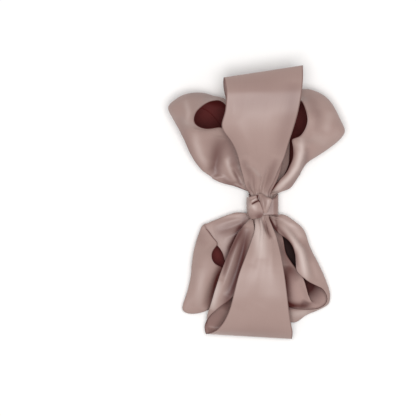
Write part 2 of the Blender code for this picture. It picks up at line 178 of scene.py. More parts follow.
TOP_CENTRE = (
    in_binding(Fan, NECK_TOP_Y, NECK_UPPER, -6.0, 12.0),
    Fan((-5.2, 9.4, 16.8), (10.5, 9.2, 17.0)),
    Fan((-9.6, 13.4, 18.2), (11.8, 12.4, 18.4), 0.5),
    Fan((-11.5, 20.9, 21.0), (15.9, 20.1, 21.0), 1.5),
    Fan((-14.9, 33.4, 27.0), (20.8, 31.7, 27.0), 2.5),
    Fan((-18.1, 45.8, 33.0), (25.9, 43.3, 33.0), 3.0),
    Fan((-23.2, 56.6, 38.0), (30.0, 56.6, 38.0), 3.0),
    Fan((-32.7, 71.6, 42.0), (35.0, 72.0, 43.0), 3.0),
    Fan((-29.0, 86.0, 45.5), (39.0, 87.0, 46.5), 2.0),
    Fan((-28.0, 101.0, 47.0), (41.6, 102.0, 48.0), 1.0),
    Fan((-29.3, 110.5, 43.0), (43.0, 117.5, 44.0), 0.5),
    Fan((-30.5, 117.0, 36.0), (43.0, 128.5, 36.5), 0.0),
    Fan((-31.0, 111.0, 31.0), (41.0, 121.0, 31.5), 0.0),
    Fan((-29.0, 99.0, 31.5), (37.0, 104.0, 32.5), 1.0),
    Fan((-22.0, 80.0, 32.0), (29.0, 82.0, 32.0), 1.0),
    Fan((-16.0, 58.0, 27.5), (27.0, 58.0, 27.5), 1.0),
    Fan((-11.0, 36.0, 20.5), (23.8, 36.0, 21.0), 1.0),
    Fan((-9.0, 26.0, 17.5), (21.2, 26.0, 18.2), 0.8),
    Fan((-7.5, 18.0, 15.0), (17.6, 18.0, 16.0), 0.5),
    Fan((-6.5, 8.0, 13.0), (13.0, 8.0, 13.0)),
    in_binding(Fan, NECK_TOP_Y, NECK_LOWER, -4.8, 14.0),
)

TOP_LEFT = (
    in_binding(Ring, NECK_TOP_Y, SIDE_UPPER, 5.0, -3.0, -5.8),
    Ring((4.5, 9.4, 9.2), (-4.4, 9.2, 9.2), (-7.8, 9.2, 8.6)),
    Ring((2.0, 14.5, 11.0), (-10.2, 12.0, 9.6), (-7.0, 13.4, 6.4)),
    Ring((-1.5, 24.0, 13.0), (-20.5, 15.9, 9.0), (-15.0, 18.5, 5.5)),
    Ring((-5.0, 34.0, 15.0), (-33.5, 19.2, 9.5), (-24.0, 28.0, 0.5)),
    Ring((-10.0, 47.0, 19.0), (-48.5, 28.5, 12.0), (-28.0, 42.0, 0.5)),
    Ring((-20.0, 60.0, 25.0), (-61.0, 45.0, 15.0), (-17.0, 60.0, 0.5)),
    Ring((-33.0, 70.5, 34.0), (-68.0, 60.0, 17.0), (-17.0, 72.0, 0.5)),
    Ring((-46.0, 68.5, 41.0), (-74.0, 71.5, 18.0), (-20.0, 81.0, 0.5)),
    Ring((-55.5, 71.5, 43.5), (-80.0, 82.5, 18.0), (-26.0, 86.0, 0.5)),
    Ring((-58.6, 77.0, 44.5), (-83.2, 89.4, 18.0), (-32.0, 87.5, 0.8)),
    Ring((-57.0, 83.0, 44.5), (-78.5, 94.2, 18.0), (-36.5, 85.0, 1.2)),
    Ring((-51.5, 89.0, 42.5), (-66.5, 101.5, 17.5), (-37.5, 80.0, 1.6)),
    Ring((-43.5, 94.0, 38.5), (-54.0, 103.0, 16.5), (-36.0, 76.0, 1.8)),
    Ring((-35.5, 95.5, 32.5), (-41.0, 100.5, 15.0), (-33.0, 72.0, 1.8)),
    Ring((-26.0, 88.0, 27.0), (-26.0, 95.5, 12.0), (-29.0, 66.0, 1.6)),
    Ring((-14.0, 70.0, 21.0), (-8.0, 78.0, 10.0), (-19.0, 63.0, 0.5)),
    Ring((-6.0, 45.0, 13.5), (1.5, 50.0, 7.5), (-7.0, 45.0, 0.5)),
    Ring((-6.0, 24.0, 6.2), (0.0, 25.0, 3.5), (4.5, 25.0, 1.0)),
    Ring((-6.0, 9.4, 4.6), (-1.0, 9.4, 4.6), (4.5, 9.4, 4.4)),
    in_binding(Ring, NECK_TOP_Y, SIDE_LOWER, -4.8, -1.0, 5.0),
)

TOP_RIGHT = (
    in_binding(Ring, NECK_TOP_Y, SIDE_UPPER, 7.0, 15.0, 19.0),
    Ring((10.0, 9.4, 9.8), (17.0, 9.0, 9.4), (20.8, 9.0, 8.6)),
    Ring((15.0, 14.5, 13.0), (23.8, 11.4, 10.2), (20.0, 13.6, 6.4)),
    Ring((20.0, 20.0, 17.0), (31.6, 13.6, 9.0), (24.0, 17.5, 5.5)),
    Ring((29.0, 29.5, 24.0), (40.0, 26.0, 11.0), (15.0, 30.0, 1.2)),
    Ring((34.8, 45.0, 30.0), (49.0, 37.8, 13.0), (14.0, 46.0, 1.2)),
    Ring((32.5, 58.6, 33.0), (65.0, 49.0, 15.0), (18.0, 60.0, 1.2)),
    Ring((40.0, 61.6, 36.5), (75.0, 56.5, 17.0), (31.0, 65.0, 0.5)),
    Ring((45.3, 69.0, 38.5), (80.8, 62.6, 18.0), (34.0, 70.0, 0.5)),
    Ring((47.2, 76.0, 39.5), (83.2, 67.4, 18.0), (35.5, 73.5, 0.5)),
    Ring((46.5, 82.0, 39.5), (78.6, 76.5, 18.0), (35.5, 76.5, 0.5)),
    Ring((44.5, 89.0, 37.5), (72.6, 89.4, 17.5), (34.0, 78.5, 0.5)),
    Ring((40.5, 95.5, 33.5), (63.0, 100.4, 16.5), (31.5, 79.0, 0.5)),
    Ring((33.5, 95.0, 28.0), (46.5, 106.6, 15.0), (28.5, 77.0, 0.5)),
    Ring((28.5, 80.0, 23.5), (20.0, 94.0, 12.0), (26.0, 70.0, 0.5)),
    Ring((31.0, 58.0, 18.0), (13.0, 66.0, 10.0), (24.5, 55.0, 0.5)),
    Ring((30.5, 38.0, 12.5), (12.0, 40.0, 7.0), (21.0, 36.0, 0.5)),
    Ring((24.0, 22.0, 7.2), (12.0, 23.0, 3.5), (8.0, 23.0, 1.0)),
    Ring((19.6, 9.4, 4.6), (12.8, 9.4, 4.6), (7.4, 9.4, 4.4)),
    in_binding(Ring, NECK_TOP_Y, SIDE_LOWER, 18.0, 13.0, 7.0),
)

BOTTOM_CENTRE = (
    in_binding(Fan, NECK_BOTTOM_Y, NECK_UPPER, -3.0, 12.0),
    Fan((-2.5, -12.3, 16.8), (11.5, -12.3, 16.8)),
    Fan((-1.0, -22.0, 21.0), (14.5, -22.0, 20.5), 1.0),
    Fan((-4.0, -33.0, 25.5), (18.7, -33.0, 23.5), 2.0),
    Fan((-10.5, -50.5, 31.5), (23.2, -51.5, 28.0), 2.5),
    Fan((-16.4, -66.2, 33.0), (25.8, -66.2, 29.0), 2.5),
    Fan((-21.0, -84.0, 31.0), (28.2, -84.0, 28.0), 2.0),
    Fan((-25.0, -99.0, 27.0), (30.0, -99.0, 25.0), 1.5),
    Fan((-31.0, -111.5, 22.5), (32.0, -112.0, 21.0), 1.0),
    Fan((-39.5, -120.0, 17.0), (33.8, -120.5, 16.5), 0.5),
    Fan((-47.0, -122.0, 9.5), (33.0, -127.0, 9.0), 0.0),
    Ring((-48.2, -115.0, 6.5), (-44.0, -116.0, 2.8), (29.0, -118.0, 1.5)),
    Ring((-44.5, -107.0, 12.5), (-46.5, -106.5, 8.5), (21.0, -108.0, 4.5)),
    Ring((-35.5, -98.0, 19.5), (-43.3, -96.0, 14.5), (14.0, -96.0, 9.0)),
    Ring((-22.0, -87.5, 24.0), (-39.0, -82.0, 19.5), (6.0, -80.0, 13.0)),
    Ring((-10.0, -68.0, 26.5), (-33.0, -64.0, 23.5), (3.0, -62.0, 17.5)),
    Ring((-4.0, -44.0, 24.5), (-23.5, -41.0, 22.0), (5.0, -42.0, 17.0)),
    Ring((-1.5, -27.0, 20.0), (-15.4, -25.5, 18.5), (7.0, -26.0, 13.0)),
    Ring((-2.6, -18.0, 17.2), (-9.8, -18.0, 15.6), (9.5, -18.0, 13.2)),
    Ring((-4.8, -12.3, 14.2), (-4.4, -12.3, 12.8), (12.5, -12.3, 12.6)),
    in_binding(Ring, NECK_BOTTOM_Y, NECK_LOWER, -4.8, -1.0, 13.0),
)

BOTTOM_LEFT = (
    in_binding(Ring, NECK_BOTTOM_Y, SIDE_UPPER, 5.0, -3.0, -5.8),
    Ring((4.5, -12.3, 9.2), (-4.0, -12.0, 9.2), (-7.4, -12.0, 8.6)),
    Ring((-2.0, -22.0, 10.6), (-11.0, -9.0, 9.6), (-9.4, -13.0, 6.4)),
    Ring((-10.0, -34.0, 11.5), (-18.5, -8.9, 9.4), (-16.0, -14.0, 5.5)),
    Ring((-20.0, -49.0, 13.0), (-26.5, -11.0, 8.6), (-23.0, -30.0, 0.5)),
    Ring((-29.0, -56.0, 15.0), (-34.0, -13.6, 8.4), (-24.0, -46.0, 0.5)),
    Ring((-31.4, -44.5, 14.0), (-40.5, -15.8, 8.4), (-24.0, -50.0, 0.5)),
    Ring((-41.0, -36.0, 12.0), (-45.0, -17.2, 8.6), (-24.0, -54.0, 0.5)),
    Ring((-47.4, -24.6, 11.0), (-48.6, -18.0, 8.8), (-24.5, -58.0, 0.5)),
    Ring((-46.0, -24.0, 11.2), (-53.0, -25.0, 8.4), (-26.0, -62.0, 0.5)),
    Ring((-39.6, -33.4, 14.6), (-56.6, -36.0, 8.6), (-29.0, -63.0, 0.5)),
    Ring((-34.8, -38.2, 18.0), (-58.4, -45.0, 8.8), (-31.0, -64.0, 0.5)),
    Ring((-40.6, -43.2, 20.0), (-59.2, -51.0, 9.0), (-32.0, -65.0, 0.5)),
    Ring((-42.2, -49.6, 22.0), (-60.2, -57.5, 9.0), (-33.0, -66.0, 0.5)),
    Ring((-40.0, -55.6, 22.0), (-61.2, -65.0, 8.6), (-34.0, -67.0, 0.5)),
    Ring((-35.0, -59.4, 21.5), (-63.0, -75.0, 8.0), (-35.0, -68.0, 0.5)),
    Ring((-30.5, -62.5, 19.0), (-67.0, -90.5, 6.0), (-38.0, -70.0, 0.5)),
    Ring((-28.5, -64.5, 17.0), (-70.2, -100.0, 4.5), (-39.0, -75.0, 0.5)),
    Ring((-26.5, -66.5, 15.0), (-62.5, -104.0, 4.0), (-38.5, -79.0, 0.5)),
    Ring((-22.5, -66.0, 12.0), (-45.5, -100.4, 3.5), (-36.0, -82.0, 0.5)),
    Ring((-17.0, -54.0, 9.0), (-25.0, -74.0, 5.0), (-28.0, -82.0, 1.0)),
    Ring((-11.0, -34.0, 5.0), (-8.0, -45.0, 2.8), (-5.0, -46.0, 0.8)),
    Ring((-4.8, -12.3, 4.6), (-0.2, -12.3, 4.6), (4.5, -12.3, 4.4)),
    in_binding(Ring, NECK_BOTTOM_Y, SIDE_LOWER, -4.8, -1.0, 5.0),
)

BOTTOM_RIGHT = (
    in_binding(Ring, NECK_BOTTOM_Y, SIDE_UPPER, 7.0, 15.0, 19.0),
    Ring((8.5, -12.3, 9.4), (17.0, -12.0, 9.4), (20.8, -12.0, 8.6)),
    Ring((13.6, -19.5, 12.2), (23.6, -10.4, 9.8), (21.6, -14.0, 6.4)),
    Ring((19.8, -27.6, 15.5), (32.0, -14.4, 10.0), (28.0, -20.0, 4.0)),
    Ring((30.5, -35.5, 20.0), (44.8, -25.5, 9.5), (24.0, -31.0, 0.5)),
    Ring((36.0, -47.5, 22.5), (50.0, -41.0, 9.5), (16.0, -46.0, 0.5)),
    Ring((37.0, -62.0, 23.0), (58.0, -56.5, 9.5), (22.0, -60.0, 0.5)),
    Ring((48.0, -73.0, 20.0), (65.3, -73.0, 8.5), (30.0, -73.0, 0.5)),
    Ring((62.0, -80.5, 14.0), (69.0, -86.0, 7.0), (36.0, -83.0, 0.5)),
    Ring((66.5, -91.0, 9.0), (68.5, -93.0, 5.5), (42.0, -88.0, 0.8)),
    Ring((57.5, -98.5, 9.0), (58.5, -99.5, 5.0), (50.0, -89.5, 3.0)),
    Ring((47.0, -99.3, 10.0), (47.0, -104.0, 4.5), (48.5, -86.0, 8.0), 6.0),
    Ring((34.0, -98.3, 12.0), (35.0, -112.0, 4.0), (43.6, -69.0, 11.5), 6.0),
    Ring((22.0, -92.0, 12.5), (22.0, -104.0, 4.0), (33.5, -56.5, 11.0), 5.0),
    Ring((12.0, -70.0, 10.0), (9.0, -76.0, 4.0), (27.2, -45.5, 9.0), 3.0),
    Ring((8.0, -44.0, 6.5), (6.0, -46.0, 4.0), (25.0, -33.0, 6.5), 1.5),
    Ring((7.5, -12.3, 4.6), (12.5, -12.3, 4.6), (18.0, -12.3, 4.4)),
    in_binding(Ring, NECK_BOTTOM_Y, SIDE_LOWER, 7.0, 12.5, 18.0),
)

LOOPS = {
    "loop_top_centre": TOP_CENTRE,
    "loop_top_left": TOP_LEFT,
    "loop_top_right": TOP_RIGHT,
    "loop_bottom_centre": BOTTOM_CENTRE,
    "loop_bottom_left": BOTTOM_LEFT,
    "loop_bottom_right": BOTTOM_RIGHT,
}

# The knot on the binding: a lobe of ribbon folded over on the left, and a ply that crosses beside it.
KNOT_LOBE = (
    Ring((-8.8, 5.4, 15.5), (-7.0, 5.4, 21.2), (1.2, 7.4, 22.0), -0.6),
    Ring((-9.0, 3.0, 14.5), (-7.2, 3.0, 21.6), (2.7, 2.0, 22.6), -1.6),
    Ring((-9.0, -3.0, 14.0), (-7.2, -3.0, 21.8), (4.5, -3.2, 22.8), -2.4),
    Ring((-8.8, -8.0, 15.0), (-7.0, -8.4, 21.6), (6.6, -9.2, 22.4), -2.2),
    Ring((-8.2, -11.6, 16.5), (-6.4, -12.2, 21.2), (5.2, -12.4, 21.6), -1.2),
    Ring((-6.8, -13.6, 18.4), (-4.0, -14.8, 21.0), (3.6, -13.8, 21.2), -0.4),
)

KNOT_CROSSING = (
    Fan((1.2, 8.6, 20.4), (5.2, 8.6, 20.2), 0.3),
    Fan((2.0, 6.6, 21.8), (8.4, 6.2, 21.2), 0.8),
    Fan((3.0, 3.0, 22.4), (14.4, 3.2, 21.4), 1.4),
    Fan((4.0, -1.6, 22.8), (12.9, -1.2, 21.6), 1.4),
    Fan((5.8, -6.8, 22.6), (10.8, -6.6, 21.4), 0.8),
    Fan((7.2, -9.6, 21.8), (9.8, -9.4, 21.2), 0.2),
)

# Creases, placed where the ribbon is pulled into the knot or folds softly
CREASES = {
    "loop_top_centre": (
        Crease(((-13.2, 43.3), (-6.0, 36.0), (-0.7, 31.7), (4.0, 24.0)), 1.0, 3.0),
        Crease(((-5.0, 33.0), (1.0, 25.0), (5.0, 14.0)), -1.1, 3.4),
        Crease(((12.0, 34.0), (9.5, 24.0), (8.0, 12.0)), -0.9, 2.8),
        Crease(((16.0, 42.0), (13.0, 27.0), (9.5, 11.0)), 0.8, 2.4),
        Crease(((-9.5, 25.0), (-5.0, 18.0), (-2.0, 11.0)), 0.7, 2.2),
        Crease(((-22.0, 90.0), (-5.0, 92.0), (14.0, 88.0)), -0.5, 9.0),
        Crease(((20.0, 96.0), (24.0, 70.0), (21.0, 48.0)), -0.5, 7.0),
        Crease(((-20.0, 76.0), (-14.0, 60.0), (-8.0, 46.0)), 0.6, 7.0),
        Crease(((-6.0, 60.0), (0.0, 40.0), (4.0, 20.0)), 0.7, 3.0, 0.5, 1.0),
        Crease(((14.0, 66.0), (12.0, 44.0), (9.0, 20.0)), -0.7, 3.5, 0.5, 1.0),
    ),
    "loop_top_left": (
        Crease(((-57.0, 68.0), (-56.0, 55.0), (-52.0, 43.0), (-44.0, 31.0)), 2.4, 5.0),
        Crease(((-33.0, 62.0), (-35.8, 46.0), (-38.6, 34.0), (-37.0, 24.0)), -4.5, 6.0),
        Crease(((-29.5, 42.0), (-25.0, 31.0), (-20.0, 19.0)), 1.3, 3.4),
        Crease(((-23.0, 36.0), (-17.0, 26.0), (-12.0, 17.0)), -1.2, 2.6),
        Crease(((-18.0, 34.0), (-13.0, 25.0), (-9.0, 16.0)), 0.9, 2.0),
        Crease(((-31.0, 27.0), (-22.0, 21.0), (-13.0, 15.0)), -0.8, 2.2),
        Crease(((-62.0, 98.0), (-66.0, 84.0), (-66.0, 70.0), (-63.0, 60.0)), 0.7, 3.5),
        Crease(((-72.0, 90.0), (-70.0, 78.0), (-67.0, 66.0)), -0.6, 4.0),
        Crease(((-50.0, 97.0), (-42.0, 98.5), (-36.0, 98.0)), -0.8, 2.6, 0.4, 0.8),
    ),
    "loop_top_right": (
        Crease(
            ((41.0, 60.5), (42.3, 47.4), (37.6, 33.0), (30.0, 23.0), (22.4, 16.0), (15.0, 10.0)),
            2.4, 3.6,
        ),
        Crease(((36.0, 52.0), (35.5, 40.0), (30.0, 29.0), (22.0, 20.0)), -1.2, 3.0),
        Crease(((50.0, 58.0), (50.0, 47.0), (47.0, 38.0), (41.0, 27.0)), -1.2, 4.0),
        Crease(((56.0, 92.0), (53.0, 78.0), (54.0, 62.0)), 0.9, 5.0),
        Crease(((68.0, 84.0), (64.0, 72.0), (63.0, 60.0)), -0.8, 5.0),
        Crease(((46.0, 101.0), (50.0, 92.0), (50.0, 84.0)), -0.7, 3.5, 0.4, 0.8),
        Crease(((29.0, 17.0), (22.0, 13.5), (16.0, 10.5)), 0.8, 1.8),
    ),
    "loop_bottom_centre": (
        Crease(((-2.6, -13.8), (-3.2, -22.0), (-4.2, -30.0)), -1.9, 1.5),
        Crease(((-0.6, -14.0), (-0.4, -21.0), (-1.0, -30.0)), 0.9, 1.7),
        Crease(((7.4, -17.0), (9.6, -24.0), (13.4, -32.5)), -2.2, 2.0),
        Crease(((10.6, -14.0), (14.4, -23.0), (18.0, -34.0)), 1.1, 1.6),
        Crease(((4.5, -14.0), (4.5, -24.0), (3.5, -40.0)), 0.6, 2.6),
        Crease(((2.0, -95.0), (10.0, -80.0), (11.0, -60.0)), -0.5, 9.0),
        Crease(((-16.0, -98.0), (-8.0, -80.0), (-3.0, -58.0)), 0.6, 7.0),
        Crease(((24.0, -112.0), (22.0, -90.0), (19.0, -64.0)), 0.5, 6.0),
        Crease(
            ((-13.4, -22.0), (-17.0, -36.0), (-23.0, -53.0), (-31.0, -76.0), (-37.0, -90.0)),
            1.4, 2.6, 0.5, 1.0,
        ),
        Crease(((-8.0, -24.0), (-13.0, -45.0), (-18.0, -62.0), (-26.0, -86.0)), -2.6, 4.0, 0.5, 1.0),
    ),
    "loop_bottom_left": (
        Crease(((-15.0, -14.5), (-27.0, -17.5), (-39.0, -21.0)), 0.7, 2.0),
        Crease(((-12.0, -18.0), (-24.0, -23.0), (-37.0, -27.0)), -0.8, 2.4),
        Crease(((-10.0, -22.0), (-20.0, -29.0), (-31.0, -34.0)), 0.8, 2.6),
        Crease(((-12.0, -28.0), (-18.0, -36.0), (-26.0, -43.0)), -0.8, 2.6),
        Crease(((-49.5, -30.0), (-51.0, -52.0), (-53.0, -76.0), (-56.0, -96.0)), 1.2, 6.0, 0.3, 0.9),
        Crease(((-32.0, -56.0), (-37.0, -74.0), (-41.0, -86.0), (-45.0, -98.0)), -4.0, 5.0, 0.4, 1.0),
        Crease(((-60.0, -60.0), (-62.0, -76.0), (-64.0, -90.0)), -0.6, 3.5, 0.3, 0.9),
    ),
    "loop_bottom_right": (
        Crease(
            ((22.0, -18.0), (32.0, -31.5), (40.9, -43.3), (43.8, -53.6), (46.0, -64.7), (47.0, -71.0)),
            2.4, 3.6,
        ),
        Crease(((30.0, -21.0), (40.0, -34.0), (46.0, -46.0)), -1.0, 3.0),
        Crease(((46.5, -48.0), (52.0, -60.0), (56.0, -72.0)), -1.1, 3.4),
        Crease(((23.0, -20.0), (30.0, -34.0), (36.0, -48.0)), -0.7, 2.0),
        Crease(((60.0, -74.0), (63.0, -84.0), (66.0, -90.0)), 0.6, 2.4),
        Crease(((18.6, -11.5), (18.8, -18.0), (19.8, -24.0)), -0.9, 1.0),
        Crease(((38.0, -70.0), (42.0, -84.0), (44.0, -95.0)), 1.2, 4.0, 0.5, 1.0),
        Crease(((30.0, -64.0), (33.0, -82.0), (34.0, -95.0)), -0.8, 3.4, 0.5, 1.0),
    ),
}

# Painted shade in and beside the folds, where one side of a fold keeps the light from the other, and
# painted highlight where a height is negative
SHADES = {
    "loop_top_centre": (
        Shade(((-40.0, 124.0), (4.0, 128.0), (48.0, 132.0)), 0.30, 13.0),
        Shade(((-14.0, 40.0), (-7.0, 30.0), (-1.0, 14.0)), 0.30, 4.0),
        Shade(((-8.6, 20.0), (-5.6, 9.0), (-4.0, 2.0)), 0.35, 2.0),
        Shade(((18.0, 42.0), (13.0, 26.0), (8.6, 10.0)), 0.35, 3.4),
        Shade(((-30.0, 66.0), (-20.0, 50.0), (-16.0, 38.0)), 0.12, 5.0),
        Shade(((-10.0, 36.0), (-2.0, 30.5), (4.0, 24.0)), -0.25, 1.8),
        Shade(((36.0, 112.0), (32.0, 84.0), (20.0, 44.0)), 0.25, 8.0),
        Shade(((-30.0, 92.0), (8.0, 96.0), (46.0, 100.0)), 0.22, 12.0),
    ),
    "loop_top_left": (
        Shade(((-33.0, 60.0), (-35.8, 46.0), (-38.6, 33.0), (-36.0, 24.0)), 0.70, 5.5),
        Shade(((-30.0, 70.0), (-24.0, 50.0), (-20.0, 36.0), (-16.0, 24.0)), 0.45, 5.0),
        Shade(((-22.5, 31.0), (-18.0, 23.0), (-13.4, 16.0)), 0.60, 1.4),
        Shade(((-29.0, 42.0), (-24.0, 31.0), (-19.0, 20.0)), -0.40, 2.2),
        Shade(((-57.0, 66.0), (-56.0, 55.0), (-52.0, 43.0), (-44.0, 32.0)), -0.25, 4.0),
        Shade(((-72.0, 80.0), (-66.0, 60.0), (-61.0, 44.0), (-50.0, 28.0)), 0.25, 4.5),
        Shade(((-50.0, 24.0), (-30.0, 22.0), (-14.0, 14.0)), 0.20, 5.0),
        Shade(((-44.0, 60.0), (-42.0, 50.0), (-44.0, 40.0)), 0.12, 6.0),
        Shade(((-66.0, 103.0), (-50.0, 104.0), (-34.0, 98.0)), 0.30, 6.0, 0.3, 1.0),
        Shade(((-66.0, 96.0), (-63.0, 84.0), (-65.0, 72.0)), -0.25, 2.6, 0.0, 1.0),
        Shade(((-32.0, 22.0), (-22.0, 16.5), (-10.0, 12.0)), 0.30, 3.0),
    ),
    "loop_top_right": (
        Shade(
            ((41.0, 61.0), (42.3, 47.4), (37.6, 33.0), (30.0, 23.0), (22.4, 16.0), (15.0, 9.0)),
            -0.70, 2.8,
        ),
        Shade(((46.0, 52.0), (46.5, 40.0), (38.0, 24.0), (25.0, 11.0)), 0.35, 3.6),
        Shade(((32.0, 59.0), (34.0, 46.0), (28.0, 29.0), (19.0, 19.0)), 0.60, 2.8),
        Shade(((68.0, 86.0), (67.0, 75.0), (63.0, 66.0)), -0.15, 4.5),
        Shade(((57.0, 88.0), (57.0, 77.0), (54.0, 66.0)), 0.14, 4.0),
        Shade(((72.0, 78.0), (70.0, 68.0), (66.0, 56.0)), 0.08, 5.0),
        Shade(((33.0, 66.0), (30.0, 42.0), (20.0, 20.0)), 0.34, 7.0, 0.5, 1.0),
        Shade(((8.0, 5.0), (14.6, 13.0), (21.0, 21.0)), 1.50, 1.3),
        Shade(((45.0, 100.0), (53.0, 92.0), (56.0, 78.0)), 0.20, 5.0, 0.3, 1.0),
        Shade(((50.0, 62.0), (62.0, 58.0), (78.0, 66.0)), -0.15, 5.0),
    ),
    "loop_bottom_centre": (
        Shade(((-2.8, -12.0), (-3.4, -22.0), (-4.4, -31.0)), 0.90, 1.3),
        Shade(((7.0, -16.0), (9.6, -24.0), (13.4, -33.0)), 0.75, 1.9),
        Shade(((10.4, -11.5), (15.4, -21.0), (19.4, -31.0)), 0.20, 1.2),
        Shade(((2.0, -12.0), (3.0, -32.0), (5.0, -52.0)), -0.52, 5.5),
        Shade(((3.0, -18.0), (4.0, -46.0), (8.0, -88.0)), -0.12, 7.5),
        Shade(((-36.0, -126.0), (0.0, -128.0), (36.0, -130.0)), 0.15, 12.0),
        Shade(
            ((-8.0, -22.0), (-11.5, -40.0), (-15.5, -58.0), (-24.0, -84.0), (-30.0, -100.0)),
            1.10, 5.4, 0.5, 1.0,
        ),
        Shade(
            ((-13.6, -22.0), (-16.6, -34.4), (-22.5, -51.0), (-28.0, -65.0), (-34.0, -80.0)),
            0.12, 3.0, 0.5, 1.0,
        ),
        Shade(((-34.0, -72.0), (-38.6, -86.0), (-42.0, -100.0)), -0.60, 3.4, 0.5, 1.0),
        Shade(((-12.0, -20.0), (-20.0, -36.0), (-26.6, -50.0), (-31.0, -68.0)), 0.80, 3.0, 0.5, 1.0),
    ),
    "loop_bottom_left": (
        Shade(
            ((-8.0, -10.0), (-13.6, -22.0), (-21.9, -36.7), (-26.2, -46.3), (-30.0, -56.0)),
            1.00, 3.6, 0.0, 0.42,
        ),
        Shade(((-14.0, -20.0), (-26.0, -24.0), (-40.0, -28.0)), 0.45, 7.0, 0.0, 0.42),
        Shade(((-39.0, -40.0), (-38.5, -47.0), (-37.0, -53.0)), 2.00, 4.4, 0.50, 1.0),
        Shade(((-30.0, -54.0), (-35.4, -70.0), (-38.6, -82.0), (-44.0, -99.0)), 1.25, 4.4, 0.40, 1.0),
        Shade(((-52.0, -60.0), (-52.0, -80.0), (-53.0, -98.0)), -0.18, 4.0, 0.40, 1.0),
        Shade(((-49.0, -24.0), (-52.0, -34.0), (-46.0, -40.0)), 0.18, 5.0, 0.30, 0.7),
        Shade(((-49.5, -19.0), (-46.2, -24.4), (-41.0, -31.0), (-34.5, -38.5)), 0.60, 0.8, 0.26, 0.42),
    ),
    "loop_bottom_right": (
        Shade(
            ((24.0, -21.0), (32.0, -31.5), (40.9, -43.3), (43.8, -53.6), (46.0, -64.7), (47.0, -72.0)),
            -0.50, 2.8,
        ),
        Shade(((17.0, -20.0), (26.0, -30.0), (32.5, -39.5), (35.5, -49.0), (37.0, -60.0)), 0.80, 2.2),
        Shade(((40.0, -32.0), (46.0, -42.0), (52.0, -56.0)), 0.22, 3.2),
        Shade(((22.0, -14.0), (34.0, -22.0), (46.0, -36.0)), -0.25, 3.4),
        Shade(((18.4, -8.0), (18.2, -16.0), (19.6, -25.0)), 0.70, 0.9),
        Shade(((26.0, -58.0), (24.0, -80.0), (26.0, -100.0)), 1.10, 9.0, 0.5, 1.0),
        Shade(((10.4, -11.0), (14.6, -19.0), (18.4, -26.0), (20.6, -33.0)), 1.60, 1.2),
        Shade(((18.0, -95.0), (38.0, -96.2), (58.0, -96.0)), 0.85, 3.3, 0.5, 1.0),
        Shade(((20.0, -25.0), (25.5, -44.0), (31.0, -58.0), (40.0, -72.0)), 0.55, 4.8, 0.5, 1.0),
        Shade(((38.0, -70.0), (42.0, -82.0), (44.0, -92.0)), 0.10, 4.0, 0.5, 1.0),
        Shade(((32.0, -104.0), (42.0, -102.0), (54.0, -100.0)), -0.40, 4.0, 0.5, 1.0),
    ),
}

# The shade on the binding: down its right side, along its two edges and beside the crossing ply
BINDING_SHADES = (
    Shade(((14.6, 9.0), (16.0, -1.0), (14.6, -16.0)), 0.35, 6.0, 0.0, 1.0),
    Shade(((-9.0, 9.0), (-6.0, 6.5), (-2.0, 6.0)), 0.60, 2.6, 0.0, 1.0),
    Shade(((4.0, 7.6), (10.0, 5.2), (14.5, 3.4), (21.0, 6.4)), 0.60, 0.8, 0.0, 1.0),
    Shade(((8.0, -11.4), (13.0, -11.2), (20.0, -11.2)), 0.70, 0.8, 0.0, 1.0),
    Shade(((12.4, 4.0), (11.4, -3.0), (10.0, -9.0)), 0.25, 4.0, 0.0, 1.0),
)

# Folds pressed into the knot's lobe: a slit with a ridge above it, and soft hollows round them
LOBE_CREASES = (
    Crease(((-4.6, -1.2), (-1.0, 1.0), (2.4, 2.4)), -1.6, 0.8, 0.0, 1.0),
    Crease(((2.4, 2.4), (1.6, 4.6), (0.2, 7.2)), -1.6, 0.8, 0.0, 1.0),
    Crease(((-6.4, 0.6), (-2.6, 2.6), (0.2, 4.4)), 0.9, 1.0, 0.0, 1.0),
    Crease(((-8.0, 4.0), (-4.4, 3.2), (-1.0, 5.2)), -0.4, 0.8, 0.0, 1.0),
    Crease(((-6.0, -8.0), (0.0, -10.5), (5.0, -9.0)), -0.5, 2.2, 0.0, 1.0),
)

# The painted shade in the lobe's slit and round its foot, and the painted highlight on its ridge and
# its middle
LOBE_SHADES = (
    Shade(((-4.8, -1.3), (-1.0, 1.0), (3.0, 2.7)), 2.0, 0.7, 0.0, 1.0),
    Shade(((3.4, 0.4), (1.6, 4.6), (-0.4, 9.4)), 2.0, 0.7, 0.0, 1.0),
    Shade(((-4.6, 1.5), (-2.2, 2.7), (-0.2, 4.0)), -0.5, 0.8, 0.0, 1.0),
    Shade(((0.0, -14.6), (4.4, -11.6), (8.8, -6.0)), 0.45, 3.4, 0.0, 1.0),
    Shade(((-10.0, -12.0), (0.0, -13.0), (6.0, -11.0)), 0.35, 3.6, 0.0, 1.0),
    Shade(((-7.4, -3.0), (-3.0, -3.0), (1.0, -4.0)), -0.30, 2.6, 0.0, 1.0),
)

# The crossing ply's ridge and hollow, the painted shade where it lies against the lobe and the painted
# highlight on its right edge
CROSSING_CREASES = (
    Crease(((5.4, 6.0), (6.0, 1.0), (7.4, -6.0)), 0.5, 1.2, 0.0, 1.0),
    Crease(((9.6, 6.4), (9.8, 0.0), (8.4, -6.0)), -0.4, 1.6, 0.0, 1.0),
)

CROSSING_SHADES = (
    Shade(((1.6, 8.0), (3.2, 1.0), (6.6, -9.0)), 0.60, 0.9, 0.0, 1.0),
    Shade(((4.0, 8.0), (8.0, 1.0), (8.4, -6.0)), 0.30, 2.6, 0.0, 1.0),
    Shade(((11.8, 4.0), (11.0, -1.0), (9.0, -6.0)), -0.30, 1.4, 0.0, 1.0),
)

# Painted shadow at the bottom of the bottom right loop, where little light reaches
BOTTOM_RIGHT_PAINTED_SHADOWS = (
    PaintedDeepShade("#401816", 2.0, 4.5, (44.0, -74.0, 3.0), 10.5, 28.0),
    PaintedDeepShade("#240e0d", 2.0, 4.5, (32.0, -46.0, 3.0), 19.0, 29.0),
)


